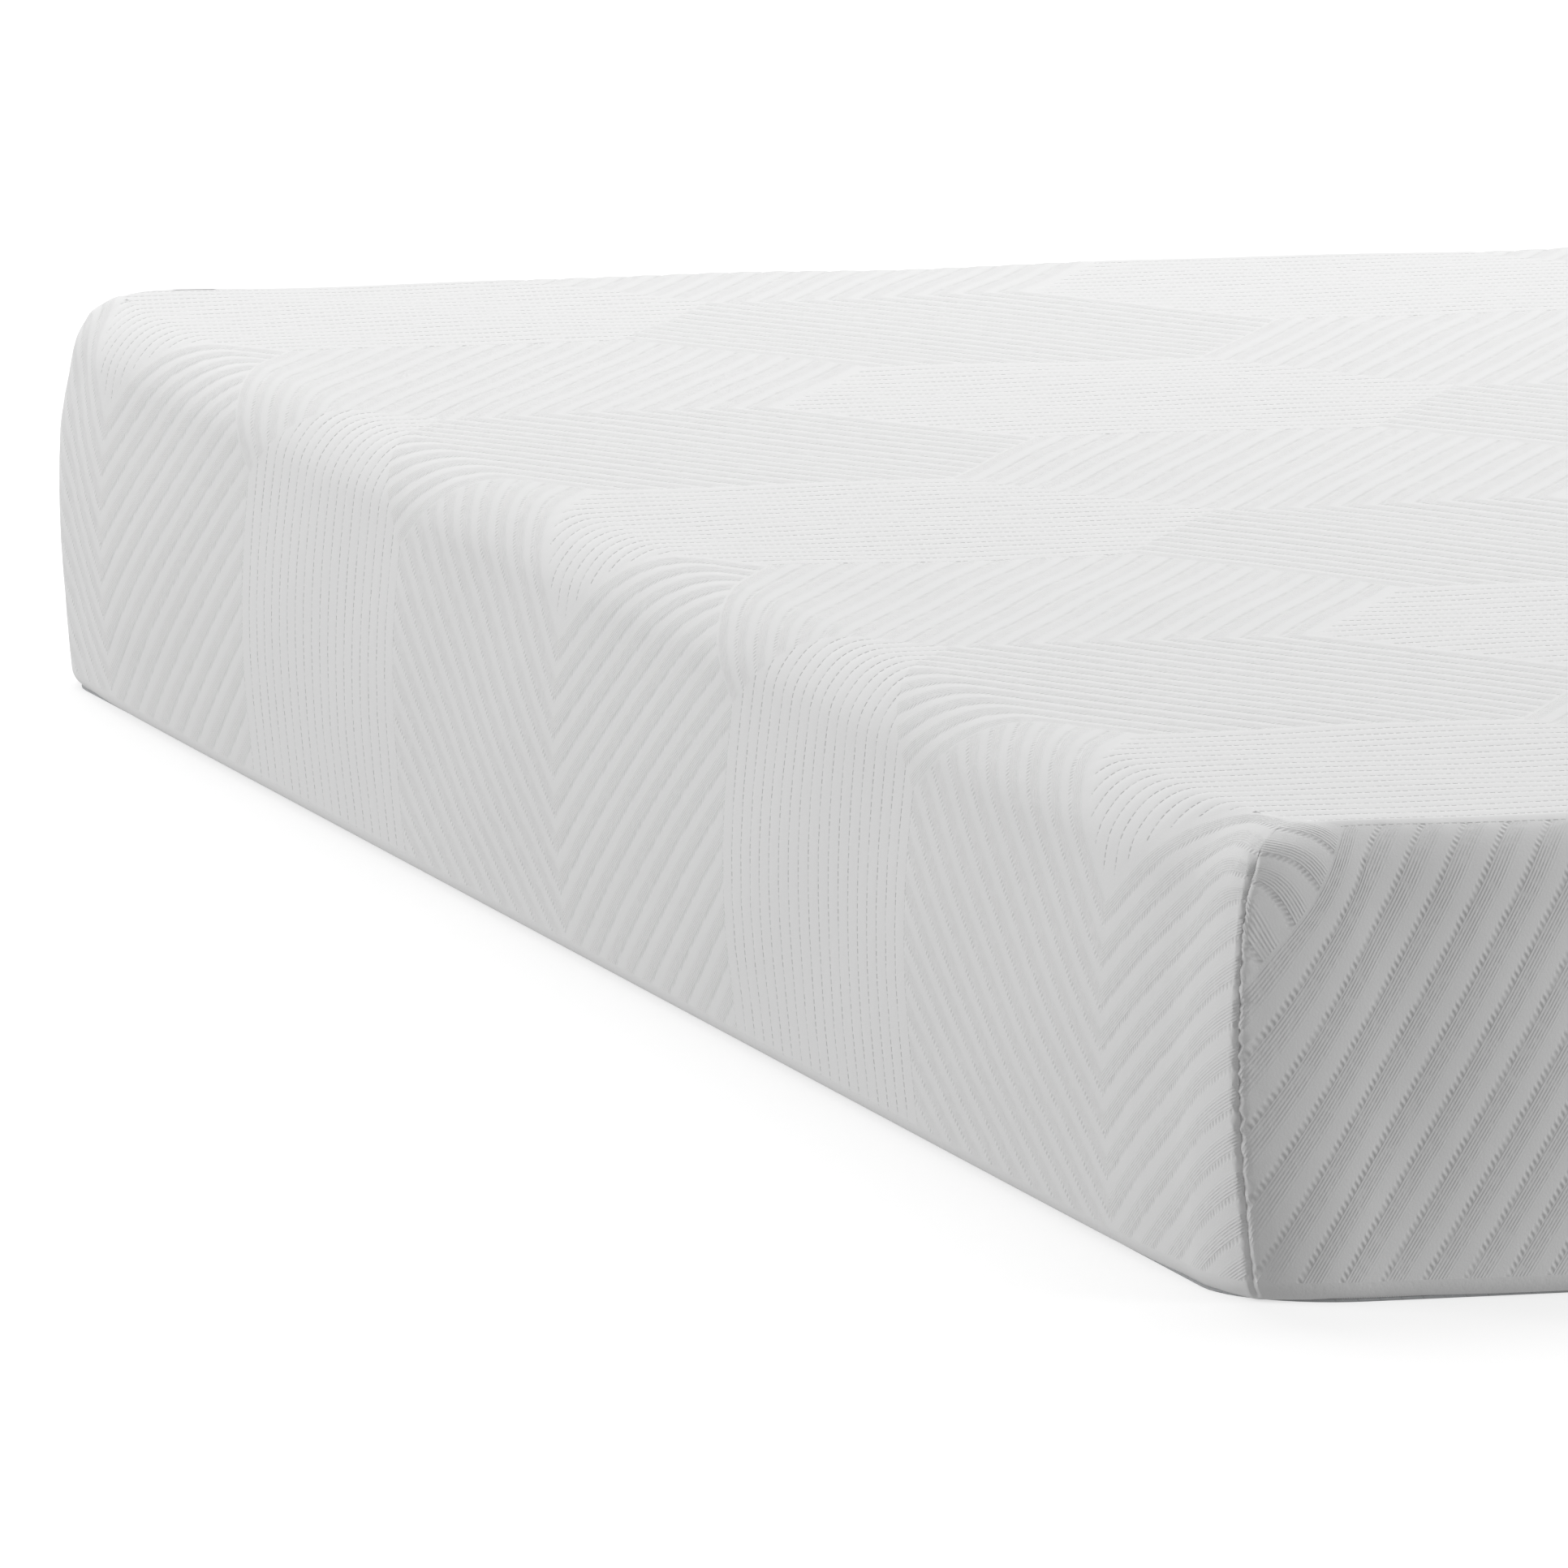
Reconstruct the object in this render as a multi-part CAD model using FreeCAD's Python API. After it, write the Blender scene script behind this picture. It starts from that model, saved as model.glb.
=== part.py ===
import FreeCAD, Part
import math
import os

# Memory foam mattress with a quilted, zip-off knitted cover.
# Frame: origin at the centre of the underside, X across the width, Y along the length
# (the foot end is at -Y), Z up. All sizes are in millimetres.

# Driving dimensions of the finished mattress
LENGTH = 2000.0
WIDTH = 1400.0
HEIGHT = 190.0
CORNER_RADIUS = 60.0
TOP_EDGE_RADIUS = 28.0
BOTTOM_EDGE_RADIUS = 8.0

# Cover: three layers quilted together, worn by the foam with a little play
KNIT_THICKNESS = 1.2
WADDING_THICKNESS = 9.0
LINING_THICKNESS = 0.8
COVER_PLAY = 0.5
FLAP_GROUND_GAP = 0.6
FLAP_MOUTH_INSET = 5.3
QUILT_BOTTOM = 22.0

# Foam layers, from the bottom up; the memory foam takes the height that is left
BASE_CLOTH_THICKNESS = 1.5
BASE_CLOTH_INSET = 7.0
SUPPORT_FOAM_HEIGHT = 105.0
COMFORT_FOAM_HEIGHT = 30.0
FOAM_CORNER_RADIUS = 60.0
FOAM_TOP_EDGE_RADIUS = 18.0

# Corner seam allowances, standing inward from the lining
SEAM_THICKNESS = 2.4
SEAM_DEPTH = 3.6
SEAM_TOP = 150.0

# Zip: a coil chain round the four walls, behind the hem of the knit on three of them
ZIP_PLANE_INSET = 7.4
TAPE_THICKNESS = 0.8
COIL_THICKNESS = 2.6
COIL_HEIGHT = 2.5
COIL_GAP = 1.0
COIL_BOTTOM = 7.5
ZIP_CORNER_RADIUS = 52.6

# Slider, parked beside the head end of the right wall, and its pull
SLIDER_Y = 878.0
SLIDER_LENGTH = 14.0
SLIDER_HEIGHT = 10.0
SLIDER_PLATE = 1.0
SLIDER_CAVITY = 3.4
SLIDER_LIP_HEIGHT = 1.6
SLIDER_DIVIDER = 0.6
TAPE_SLOT = 1.6
BRIDGE_LENGTH = 9.0
BRIDGE_WIDTH = 3.0
BRIDGE_RISE = 2.0
BRIDGE_PLATE = 1.0
PULL_LENGTH = 30.0
PULL_WIDTH = 7.0
PULL_THICKNESS = 1.2
PULL_ARM_LENGTH = 8.0
PULL_ARM_WIDTH = 1.4
PULL_HOLE_RADIUS = 1.6
PULL_HOLE_FROM_END = 6.0

# The hem is cut back along the right wall, where the slider runs
ZIP_TRAVEL = 1750.0
WINDOW_MARGIN = 38.0
WINDOW_TOP = 18.0
CHAIN_END_BEHIND_SLIDER = 2.0
STOP_LENGTH = 3.0

# Blank care label, sewn flat to the head wall
LABEL_WIDTH = 40.0
LABEL_HEIGHT = 60.0
LABEL_THICKNESS = 0.5
LABEL_X = 430.0
LABEL_BOTTOM = 28.0

HALF_LENGTH = LENGTH / 2
HALF_WIDTH = WIDTH / 2
COVER_THICKNESS = KNIT_THICKNESS + WADDING_THICKNESS + LINING_THICKNESS
FOAM_INSET = COVER_THICKNESS + COVER_PLAY
COIL_MIDDLE = COIL_BOTTOM + COIL_HEIGHT + COIL_GAP / 2
ZIP_PLANE_X = HALF_WIDTH - ZIP_PLANE_INSET
LOWER_CHAIN_END_Y = SLIDER_Y + SLIDER_LENGTH / 2
UPPER_CHAIN_END_Y = SLIDER_Y - SLIDER_LENGTH / 2 - CHAIN_END_BEHIND_SLIDER
CHAIN_START_Y = SLIDER_Y + WINDOW_MARGIN


def rounded_block(inset, bottom, top, corner_radius):
    """An upright block with round vertical corners, its walls inset from the outer size."""
    half_x = HALF_WIDTH - inset
    half_y = HALF_LENGTH - inset
    corner = FreeCAD.Vector(-half_x, -half_y, bottom)
    block = Part.makeBox(2 * half_x, 2 * half_y, top - bottom, corner)
    upright = [edge for edge in block.Edges if abs(edge.tangentAt(edge.FirstParameter).z) > 0.9]
    return block.makeFillet(corner_radius, upright)


def round_rim(block, level, radius):
    """Rounds the whole rim of a block at one level."""
    rim = [e for e in block.Edges if e.BoundBox.ZLength < 0.01 and abs(e.BoundBox.ZMin - level) < 0.01]
    return block.makeFillet(radius, rim)


def cover_envelope(inset, bottom):
    """The cover's outer surface moved inward, down to a level, with its round top rim."""
    block = rounded_block(inset, bottom, HEIGHT - inset, CORNER_RADIUS - inset)
    return round_rim(block, HEIGHT - inset, TOP_EDGE_RADIUS - inset)


def centred_box(centre_x, centre_y, size_x, size_y, bottom, top):
    """A box with its middle at a place and between two levels."""
    corner = FreeCAD.Vector(centre_x - size_x / 2, centre_y - size_y / 2, bottom)
    return Part.makeBox(size_x, size_y, top - bottom, corner)


def right_wall_cut(y_start, y_end):
    """A box that cuts the right wall away below the window's top, between two places along Y."""
    corner = FreeCAD.Vector(HALF_WIDTH - FOAM_INSET, y_start, -1.0)
    return Part.makeBox(FOAM_INSET + 10.0, y_end - y_start, WINDOW_TOP + 1.0, corner)


def support_foam():
    """The thick, firm base block."""
    bottom = BASE_CLOTH_THICKNESS
    return rounded_block(FOAM_INSET, bottom, bottom + SUPPORT_FOAM_HEIGHT, FOAM_CORNER_RADIUS)


def comfort_foam():
    """The softer layer between the base block and the memory foam."""
    bottom = BASE_CLOTH_THICKNESS + SUPPORT_FOAM_HEIGHT
    return rounded_block(FOAM_INSET, bottom, bottom + COMFORT_FOAM_HEIGHT, FOAM_CORNER_RADIUS)


def memory_foam():
    """The slow foam on top, with its upper rim rounded."""
    bottom = BASE_CLOTH_THICKNESS + SUPPORT_FOAM_HEIGHT + COMFORT_FOAM_HEIGHT
    top = HEIGHT - FOAM_INSET
    block = rounded_block(FOAM_INSET, bottom, top, FOAM_CORNER_RADIUS)
    return round_rim(block, top, FOAM_TOP_EDGE_RADIUS)


def base_cloth():
    """The flat cloth under the foam, which the lower zip tape is sewn to."""
    return rounded_block(BASE_CLOTH_INSET - 0.1, 0.0, BASE_CLOTH_THICKNESS, ZIP_CORNER_RADIUS + 0.5)


def knit_envelope(inset):
    """The knit's outer surface moved inward, with both rims round."""
    bottom = FLAP_GROUND_GAP + inset
    block = cover_envelope(inset, bottom)
    return round_rim(block, bottom, BOTTOM_EDGE_RADIUS - inset)


def knit_cover():
    """The knitted face: top and walls in one sheet, its hem curling in below the zip.

    Along the right wall the hem stops above the zip, so that the slider can be reached."""
    shell = knit_envelope(0.0).cut(knit_envelope(KNIT_THICKNESS))
    mouth_radius = CORNER_RADIUS - FLAP_MOUTH_INSET
    mouth = rounded_block(FLAP_MOUTH_INSET, -1.0, FLAP_GROUND_GAP + 2 * KNIT_THICKNESS, mouth_radius)
    shell = shell.cut(mouth)
    window_start = SLIDER_Y - ZIP_TRAVEL - WINDOW_MARGIN
    shell = shell.cut(right_wall_cut(window_start, CHAIN_START_Y))
    return shell.cut(care_label())


def quilt_wadding():
    """The fibre fill quilted behind the knit."""
    outer = cover_envelope(KNIT_THICKNESS, QUILT_BOTTOM)
    inner = cover_envelope(KNIT_THICKNESS + WADDING_THICKNESS, QUILT_BOTTOM - 1)
    return outer.cut(inner)


def quilt_lining():
    """The thin lining on the foam side of the wadding."""
    outer = cover_envelope(KNIT_THICKNESS + WADDING_THICKNESS, QUILT_BOTTOM)
    return outer.cut(cover_envelope(COVER_THICKNESS, QUILT_BOTTOM - 1))


def corner_seams():
    """The four sewn corner joins: seam allowances standing inward behind the lining."""
    inside = cover_envelope(COVER_THICKNESS, QUILT_BOTTOM)
    centre_x = HALF_WIDTH - CORNER_RADIUS
    centre_y = HALF_LENGTH - CORNER_RADIUS
    inner_radius = CORNER_RADIUS - COVER_THICKNESS
    depth = SEAM_DEPTH + 3.0
    seams = []
    for side_x in (-1, 1):
        for side_y in (-1, 1):
            start = FreeCAD.Vector(inner_radius - SEAM_DEPTH, -SEAM_THICKNESS / 2, QUILT_BOTTOM)
            strip = Part.makeBox(depth, SEAM_THICKNESS, SEAM_TOP - QUILT_BOTTOM, start)
            turn = math.degrees(math.atan2(side_y, side_x))
            strip.rotate(FreeCAD.Vector(0, 0, 0), FreeCAD.Vector(0, 0, 1), turn)
            strip.translate(FreeCAD.Vector(side_x * centre_x, side_y * centre_y, 0))
            seams.append(strip.common(inside))
    return Part.makeCompound(seams)


def care_label():
    """A blank cloth label, let into the knit of the head wall."""
    depth_middle = HALF_LENGTH - LABEL_THICKNESS / 2
    top = LABEL_BOTTOM + LABEL_HEIGHT
    return centred_box(LABEL_X, depth_middle, LABEL_WIDTH, LABEL_THICKNESS, LABEL_BOTTOM, top)


def zip_band(thickness, bottom, top):
    """An upright band that follows the zip's line all the way round the walls."""
    outer_inset = ZIP_PLANE_INSET - thickness / 2
    inner_inset = ZIP_PLANE_INSET + thickness / 2
    outer = rounded_block(outer_inset, bottom, top, ZIP_CORNER_RADIUS + thickness / 2)
    inner = rounded_block(inner_inset, bottom - 1, top + 1, ZIP_CORNER_RADIUS - thickness / 2)
    return outer.cut(inner)


def lower_coil_top():
    return COIL_BOTTOM + COIL_HEIGHT


def upper_coil_bottom():
    return COIL_BOTTOM + COIL_HEIGHT + COIL_GAP


def upper_coil_top():
    return upper_coil_bottom() + COIL_HEIGHT


def lower_zip_tape():
    """The tape sewn to the base cloth."""
    return zip_band(TAPE_THICKNESS, BASE_CLOTH_THICKNESS, COIL_BOTTOM)


def upper_zip_tape():
    """The tape sewn to the lower edge of the quilt; its ends stand clear of the parked slider."""
    band = zip_band(TAPE_THICKNESS, upper_coil_top(), QUILT_BOTTOM)
    return band.cut(right_wall_cut(UPPER_CHAIN_END_Y, CHAIN_START_Y))


def lower_zip_coil():
    """The lower half of the chain; its last coils lie inside the parked slider."""
    band = zip_band(COIL_THICKNESS, COIL_BOTTOM, lower_coil_top())
    return band.cut(right_wall_cut(LOWER_CHAIN_END_Y, CHAIN_START_Y))


def upper_zip_coil():
    """The upper half of the chain, which lifts away with the cover."""
    band = zip_band(COIL_THICKNESS, upper_coil_bottom(), upper_coil_top())
    return band.cut(right_wall_cut(UPPER_CHAIN_END_Y, CHAIN_START_Y))


def chain_stops(closed_end, closed_length, bottom, top):
    """A moulded block, of the coil's own section, on each end of a coil."""
    starts = {closed_end: closed_length, CHAIN_START_Y - STOP_LENGTH: STOP_LENGTH}
    blocks = []
    for y_start, length in starts.items():
        corner = FreeCAD.Vector(ZIP_PLANE_X - COIL_THICKNESS / 2, y_start, bottom)
        blocks.append(Part.makeBox(COIL_THICKNESS, length, top - bottom, corner))
    return Part.makeCompound(blocks)


def lower_zip_stops():
    """Stops at both ends of the lower coil."""
    return chain_stops(LOWER_CHAIN_END_Y, STOP_LENGTH, COIL_BOTTOM, lower_coil_top())


def upper_zip_stops():
    """Stops at both ends of the upper coil; the first is short, to clear the parked slider."""
    short = CHAIN_END_BEHIND_SLIDER - 0.5
    return chain_stops(UPPER_CHAIN_END_Y, short, upper_coil_bottom(), upper_coil_top())


def zip_slider():
    """Two plates joined by a thin divider between the coils, lips round the coils, and a bridge."""
    cavity_in = ZIP_PLANE_X - SLIDER_CAVITY / 2
    cavity_out = ZIP_PLANE_X + SLIDER_CAVITY / 2
    bottom = COIL_MIDDLE - SLIDER_HEIGHT / 2
    top = COIL_MIDDLE + SLIDER_HEIGHT / 2
    full_x = SLIDER_CAVITY + 2 * SLIDER_PLATE
    body = centred_box(ZIP_PLANE_X, SLIDER_Y, full_x, SLIDER_LENGTH, bottom, top)
    long = SLIDER_LENGTH + 2
    channel_bottom = bottom + SLIDER_LIP_HEIGHT
    channel_top = top - SLIDER_LIP_HEIGHT
    channel = centred_box(ZIP_PLANE_X, SLIDER_Y, SLIDER_CAVITY, long, channel_bottom, channel_top)
    slot = centred_box(ZIP_PLANE_X, SLIDER_Y, TAPE_SLOT, long, bottom - 1, top + 1)
    body = body.cut(channel).cut(slot)
    upright = [e for e in body.Edges if e.BoundBox.ZLength > SLIDER_HEIGHT - 0.1]
    outer = [e for e in upright if abs(abs(e.CenterOfMass.y - SLIDER_Y) - SLIDER_LENGTH / 2) < 0.1]
    body = body.makeFillet(SLIDER_PLATE * 0.4, outer)
    low = COIL_MIDDLE - SLIDER_DIVIDER / 2
    high = COIL_MIDDLE + SLIDER_DIVIDER / 2
    divider = centred_box(ZIP_PLANE_X, SLIDER_Y, SLIDER_CAVITY + 1.0, SLIDER_LENGTH - 2, low, high)
    body = body.fuse(divider)
    arch_bottom = COIL_MIDDLE - BRIDGE_WIDTH / 2
    arch_top = COIL_MIDDLE + BRIDGE_WIDTH / 2
    plate_out = cavity_out + SLIDER_PLATE
    rise = BRIDGE_RISE + BRIDGE_PLATE
    arch_x = plate_out + rise / 2
    arch = centred_box(arch_x - 0.1, SLIDER_Y, rise + 0.2, BRIDGE_LENGTH, arch_bottom, arch_top)
    crown = [e for e in arch.Edges if e.BoundBox.ZLength > BRIDGE_WIDTH - 0.1]
    crown = [e for e in crown if e.CenterOfMass.x > arch_x]
    arch = arch.makeFillet(BRIDGE_PLATE, crown)
    opening_x = plate_out + BRIDGE_RISE / 2
    inner_length = BRIDGE_LENGTH - 2 * BRIDGE_PLATE - 0.6
    opening = centred_box(opening_x, SLIDER_Y, BRIDGE_RISE, inner_length, arch_bottom - 1, arch_top + 1)
    return body.fuse(arch.cut(opening)).removeSplitter()


def pull_pivot_x():
    """The pull's crossbar lies in the middle of the space under the bridge."""
    return ZIP_PLANE_X + SLIDER_CAVITY / 2 + SLIDER_PLATE + BRIDGE_RISE / 2


def pull_tab():
    """A flat pull: a crossbar under the bridge, two arms beside it, and a tab with a hole."""
    pivot_x = pull_pivot_x()
    bottom = COIL_MIDDLE - PULL_WIDTH / 2
    top = COIL_MIDDLE + PULL_WIDTH / 2
    corner = FreeCAD.Vector(pivot_x - PULL_THICKNESS / 2, SLIDER_Y, bottom)
    plate = Part.makeBox(PULL_THICKNESS, PULL_LENGTH, PULL_WIDTH, corner)
    far = SLIDER_Y + PULL_LENGTH
    across = [e for e in plate.Edges if e.BoundBox.XLength > PULL_THICKNESS - 0.1]
    ends = [e for e in across if e.CenterOfMass.y > far - 1]
    plate = plate.makeFillet(PULL_WIDTH * 0.4, ends)
    window_bottom = bottom + PULL_ARM_WIDTH
    window_top = top - PULL_ARM_WIDTH
    window_y = SLIDER_Y + PULL_ARM_LENGTH / 2 - 1
    window_x = PULL_THICKNESS + 1
    window_long = PULL_ARM_LENGTH + 2
    window = centred_box(pivot_x, window_y, window_x, window_long, window_bottom, window_top)
    hole_x = pivot_x - PULL_THICKNESS / 2 - 1
    hole_start = FreeCAD.Vector(hole_x, far - PULL_HOLE_FROM_END, COIL_MIDDLE)
    along_x = FreeCAD.Vector(1, 0, 0)
    hole = Part.makeCylinder(PULL_HOLE_RADIUS, PULL_THICKNESS + 2, hole_start, along_x)
    bar_start = FreeCAD.Vector(pivot_x, SLIDER_Y, bottom)
    bar = Part.makeCylinder(PULL_THICKNESS / 2, PULL_WIDTH, bar_start)
    return plate.cut(window).cut(hole).fuse(bar).removeSplitter()


NODES = {
    "support_foam": support_foam,
    "comfort_foam": comfort_foam,
    "memory_foam": memory_foam,
    "base_cloth": base_cloth,
    "lower_zip_tape": lower_zip_tape,
    "lower_zip_coil": lower_zip_coil,
    "lower_zip_stops": lower_zip_stops,
    "knit_cover": knit_cover,
    "quilt_wadding": quilt_wadding,
    "quilt_lining": quilt_lining,
    "corner_seams": corner_seams,
    "care_label": care_label,
    "upper_zip_tape": upper_zip_tape,
    "upper_zip_coil": upper_zip_coil,
    "upper_zip_stops": upper_zip_stops,
    "zip_slider": zip_slider,
    "pull_tab": pull_tab,
}

os.makedirs("parts", exist_ok=True)
for name, make in NODES.items():
    shape = make()
    box = shape.optimalBoundingBox(False, False)
    low = (round(box.XMin, 2), round(box.YMin, 2), round(box.ZMin, 2))
    high = (round(box.XMax, 2), round(box.YMax, 2), round(box.ZMax, 2))
    print(name, "solids", len(shape.Solids), "valid", shape.isValid(), low, high)
    shape.exportStep(os.path.join("parts", name + ".step"))
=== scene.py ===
import math

import bmesh
import bpy
import numpy as np
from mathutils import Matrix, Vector


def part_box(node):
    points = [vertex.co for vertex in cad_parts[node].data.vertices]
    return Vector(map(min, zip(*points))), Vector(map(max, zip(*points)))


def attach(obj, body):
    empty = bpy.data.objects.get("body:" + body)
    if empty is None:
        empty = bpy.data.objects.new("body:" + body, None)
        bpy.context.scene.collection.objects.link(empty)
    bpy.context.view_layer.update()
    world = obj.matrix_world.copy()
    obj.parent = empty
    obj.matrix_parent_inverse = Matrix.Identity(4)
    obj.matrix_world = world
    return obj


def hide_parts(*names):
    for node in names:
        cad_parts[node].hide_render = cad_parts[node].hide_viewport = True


# A memory foam mattress in a quilted knit cover. Metres, in the frame of the CAD model: X across
# the width, Y along the length with the foot end at -Y, Z up.
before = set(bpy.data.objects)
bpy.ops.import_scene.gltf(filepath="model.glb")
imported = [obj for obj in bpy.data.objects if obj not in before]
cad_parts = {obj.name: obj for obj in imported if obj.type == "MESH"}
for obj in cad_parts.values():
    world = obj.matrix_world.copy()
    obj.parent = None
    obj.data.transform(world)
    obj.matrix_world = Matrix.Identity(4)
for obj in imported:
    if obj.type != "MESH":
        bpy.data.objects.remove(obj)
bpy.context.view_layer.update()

MM = 0.001

# The cover's envelope, read from the CAD node
HALF_X, HALF_Y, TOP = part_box("knit_cover")[1]
QUILT_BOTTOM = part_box("quilt_lining")[0][2]

# Radii and thicknesses shared with the CAD model
CORNER_RADIUS = 60 * MM
TOP_EDGE_RADIUS = 28 * MM
HEM_RADIUS = 8 * MM
HEM_CENTRE = 8.6 * MM
HEM_INSET = 5.3 * MM
KNIT_THICKNESS = 1.2 * MM
LINING_OUTER_INSET = 10.2 * MM
LINING_INNER_INSET = 11.0 * MM
CORNER_X = HALF_X - CORNER_RADIUS
CORNER_Y = HALF_Y - CORNER_RADIUS
FLAT_CORNER_RADIUS = CORNER_RADIUS - TOP_EDGE_RADIUS
CORNERS = [(sign_x, sign_y) for sign_x in (-1, 1) for sign_y in (-1, 1)]

# Softness: how far the filled walls stand out, how they draw in towards the corners, and how
# the sewn corner itself stands out past its plan radius
WALL_BULGE = 7.0 * MM
BULGE_TOP = 178 * MM
CORNER_DRAW = 4.0 * MM
CORNER_REACH = 45 * MM
CORNER_FULLNESS = 5.0 * MM
CORNER_BULGE = 15.6 * MM
FULL_HEIGHT = 210 * MM
SHOULDER = (120 * MM, 185 * MM)
CORNER_FILLING = {
    (-1, -1): (1.0, 0.0),
    (-1, 1): (0.75, 0.6),
    (1, 1): (0.85, 0.4),
    (1, -1): (0.9, 0.3),
}
SWELL = 0.5 * MM

# Quilting: regular hexagons, each filled with parallel channels in one of three directions
CELL_WIDTH = 282.5 * MM
CELL_SIDE = CELL_WIDTH / math.sqrt(3)
CHANNELS = 19
PITCH = CELL_WIDTH / CHANNELS
SIDE_PITCH = 2 * CELL_SIDE / CHANNELS
ROW_PITCH = 1.5 * CELL_SIDE
ROW_START = -810.2 * MM
COLUMN_START = -699.0 * MM
LINE_ANGLE = {"across": 0.0, "rising": math.radians(60), "falling": math.radians(120)}
CHANNEL_NODES = (0, 1 / 8, 3 / 8, 1 / 2, 5 / 8, 7 / 8)
EDGE_FRACTION = 1 / 8
RELIEF = 0.55 * MM
RELIEF_POWER = 2.4
RELIEF_SINK = 0.7
WALL_PLUMPNESS = (0.25, 1.2)
CHANNEL_END = 4 * MM
QUILT_FADE = 7 * MM
WELD = 0.01 * MM
ON_PLANE = 0.002 * MM
FLAT_STEP = 26 * MM
BEND_STEP = 6.5 * MM
BEND_MARGIN = 6 * MM

# Past a corner's start: where the cloth turns from lying flat to lying true to the wall, and how
# much of it is kept for the seam
SQUARING = (26 * MM, 100 * MM)
CORNER_SPARE = CORNER_RADIUS * math.pi / 4 + 25 * MM

# The corner darts
SEAM_TOP = 182 * MM
SEAM_FADE = 10 * MM
SEAM_DEPTH = 2.2 * MM
SEAM_WIDTH = 1.4 * MM
SEAM_VALLEY = 1.2 * MM
SEAM_VALLEY_WIDTH = 9 * MM
SEAM_TUCK = 4.0 * MM
SEAM_CUTS = (1.0 * MM, 2.4 * MM, 5.0 * MM, 10.0 * MM)

# The open stretch of hem along the right wall
WINDOW_Y = (-910 * MM, 916 * MM)
WINDOW_TOP = 18 * MM
WINDOW_TURN = 4 * MM

# The knit's stitches and ribs
TICK_PITCH = 2.8 * MM
DASH_PITCH = 3.2 * MM
RIB_PITCH = 1.25 * MM
STITCH_DEPTH = 0.34 * MM
TICK_SLANT = -0.4
CREASE_DEPTH = 0.10 * MM
RUNNING_DEPTH = 0.06 * MM
RIB_HEIGHT = 0.2 * MM
LOOP_HEIGHT = 0.10 * MM
WAVER_HEIGHT = 0.3 * MM

# The inside
WADDING_OUTER = 3.4 * MM
FOAM_HOLLOW = 0.3 * MM
CUT_RIM = 1.6 * MM
MEMORY_RIM = 18 * MM
BASE_CLOTH_RADIUS = 53.1 * MM

LABEL_LIFT = 0.9 * MM
LABEL_THICKNESS = 0.5 * MM

# The bound seam allowance: its (distance out, half width) section, and its waist between stitches
BINDING = np.array([(0.4, 1.2), (-1.6, 1.1), (-3.0, 0.9), (-3.6, 0.4)]) * MM
BINDING_WAIST = 0.86

# The zip
ZIP_INSET = 7.4 * MM
ZIP_CORNER_RADIUS = 52.6 * MM
TAPE_STEP = 8 * MM
TAPE_HALF = 0.4 * MM
COIL_PITCH = 2.4 * MM
COIL_HALF = 0.36 * COIL_PITCH
COIL_RIM = 0.5 * MM
COIL_SIDES = 8
LOWER_GAP = (885 * MM, 916 * MM)
UPPER_GAP = (869 * MM, 916 * MM)

# Light: each lamp's place, size and power, and the floor's
SKY = 0.38
LAMPS = {
    "key": ((1.5, 4.6, 5.6), 9.0, 515),
    "fill": ((-8.5, 2.6, 2.0), 5.0, 387),
    "front": ((6.0, -4.5, 1.8), 4.0, 248),
}
FLOOR_TONE = 0.40
FLOOR_GLOW = 0.67

# Camera
CAMERA_PLACE = (-3.0424, -8.7365, 1.3183)
CAMERA_AZIMUTH = math.radians(-15.6)
CAMERA_ELEVATION = math.radians(7.805)
CAMERA_LENS = 474.84


# ---- the quilt, laid out flat


def wall_profile():
    """The cover's section from the flat top outward, down the wall, round the hem and up inside.

    Returns the distance along the cloth, the distance out from the flat top's edge, the height,
    and the outward normal's two parts.
    """
    rows = []

    def add_arc(out, level, radius, angles, facing=1):
        for angle in angles:
            across, up = math.cos(angle), -math.sin(angle)
            rows.append((out + radius * across, level + radius * up, facing * across, facing * up))

    add_arc(0, TOP - TOP_EDGE_RADIUS, TOP_EDGE_RADIUS, np.linspace(-math.pi / 2, 0, 40))
    for level in np.linspace(TOP - TOP_EDGE_RADIUS, HEM_CENTRE, 60)[1:]:
        rows.append((TOP_EDGE_RADIUS, level, 1.0, 0.0))
    hem_end = math.acos(1 - HEM_INSET / HEM_RADIUS)
    middle = TOP_EDGE_RADIUS - HEM_RADIUS
    add_arc(middle, HEM_CENTRE, HEM_RADIUS, np.linspace(0, hem_end, 20)[1:])
    half = KNIT_THICKNESS / 2
    rim_out = middle + (HEM_RADIUS - half) * math.cos(hem_end)
    rim_level = HEM_CENTRE - (HEM_RADIUS - half) * math.sin(hem_end)
    add_arc(rim_out, rim_level, half, np.linspace(hem_end, hem_end + math.pi, 9)[1:])
    inner = HEM_RADIUS - KNIT_THICKNESS
    add_arc(middle, HEM_CENTRE, inner, np.linspace(hem_end, 0, 12)[1:], facing=-1)
    for level in np.linspace(HEM_CENTRE, QUILT_BOTTOM, 6)[1:]:
        rows.append((TOP_EDGE_RADIUS - KNIT_THICKNESS, level, -1.0, 0.0))
    table = np.array(rows)
    steps = np.hypot(np.diff(table[:, 0]), np.diff(table[:, 1]))
    return np.concatenate([[0.0], np.cumsum(steps)]), table


PROFILE_LENGTH, PROFILE = wall_profile()
WALL_END = math.pi / 2 * TOP_EDGE_RADIUS + (TOP - TOP_EDGE_RADIUS) - HEM_CENTRE
WINDOW_EDGE = WALL_END - (WINDOW_TOP - HEM_CENTRE)
SHEET_X = HALF_X - TOP_EDGE_RADIUS + WALL_END
SHEET_Y = HALF_Y - TOP_EDGE_RADIUS + WALL_END
WINDOW_X = HALF_X - TOP_EDGE_RADIUS + WINDOW_EDGE


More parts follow.
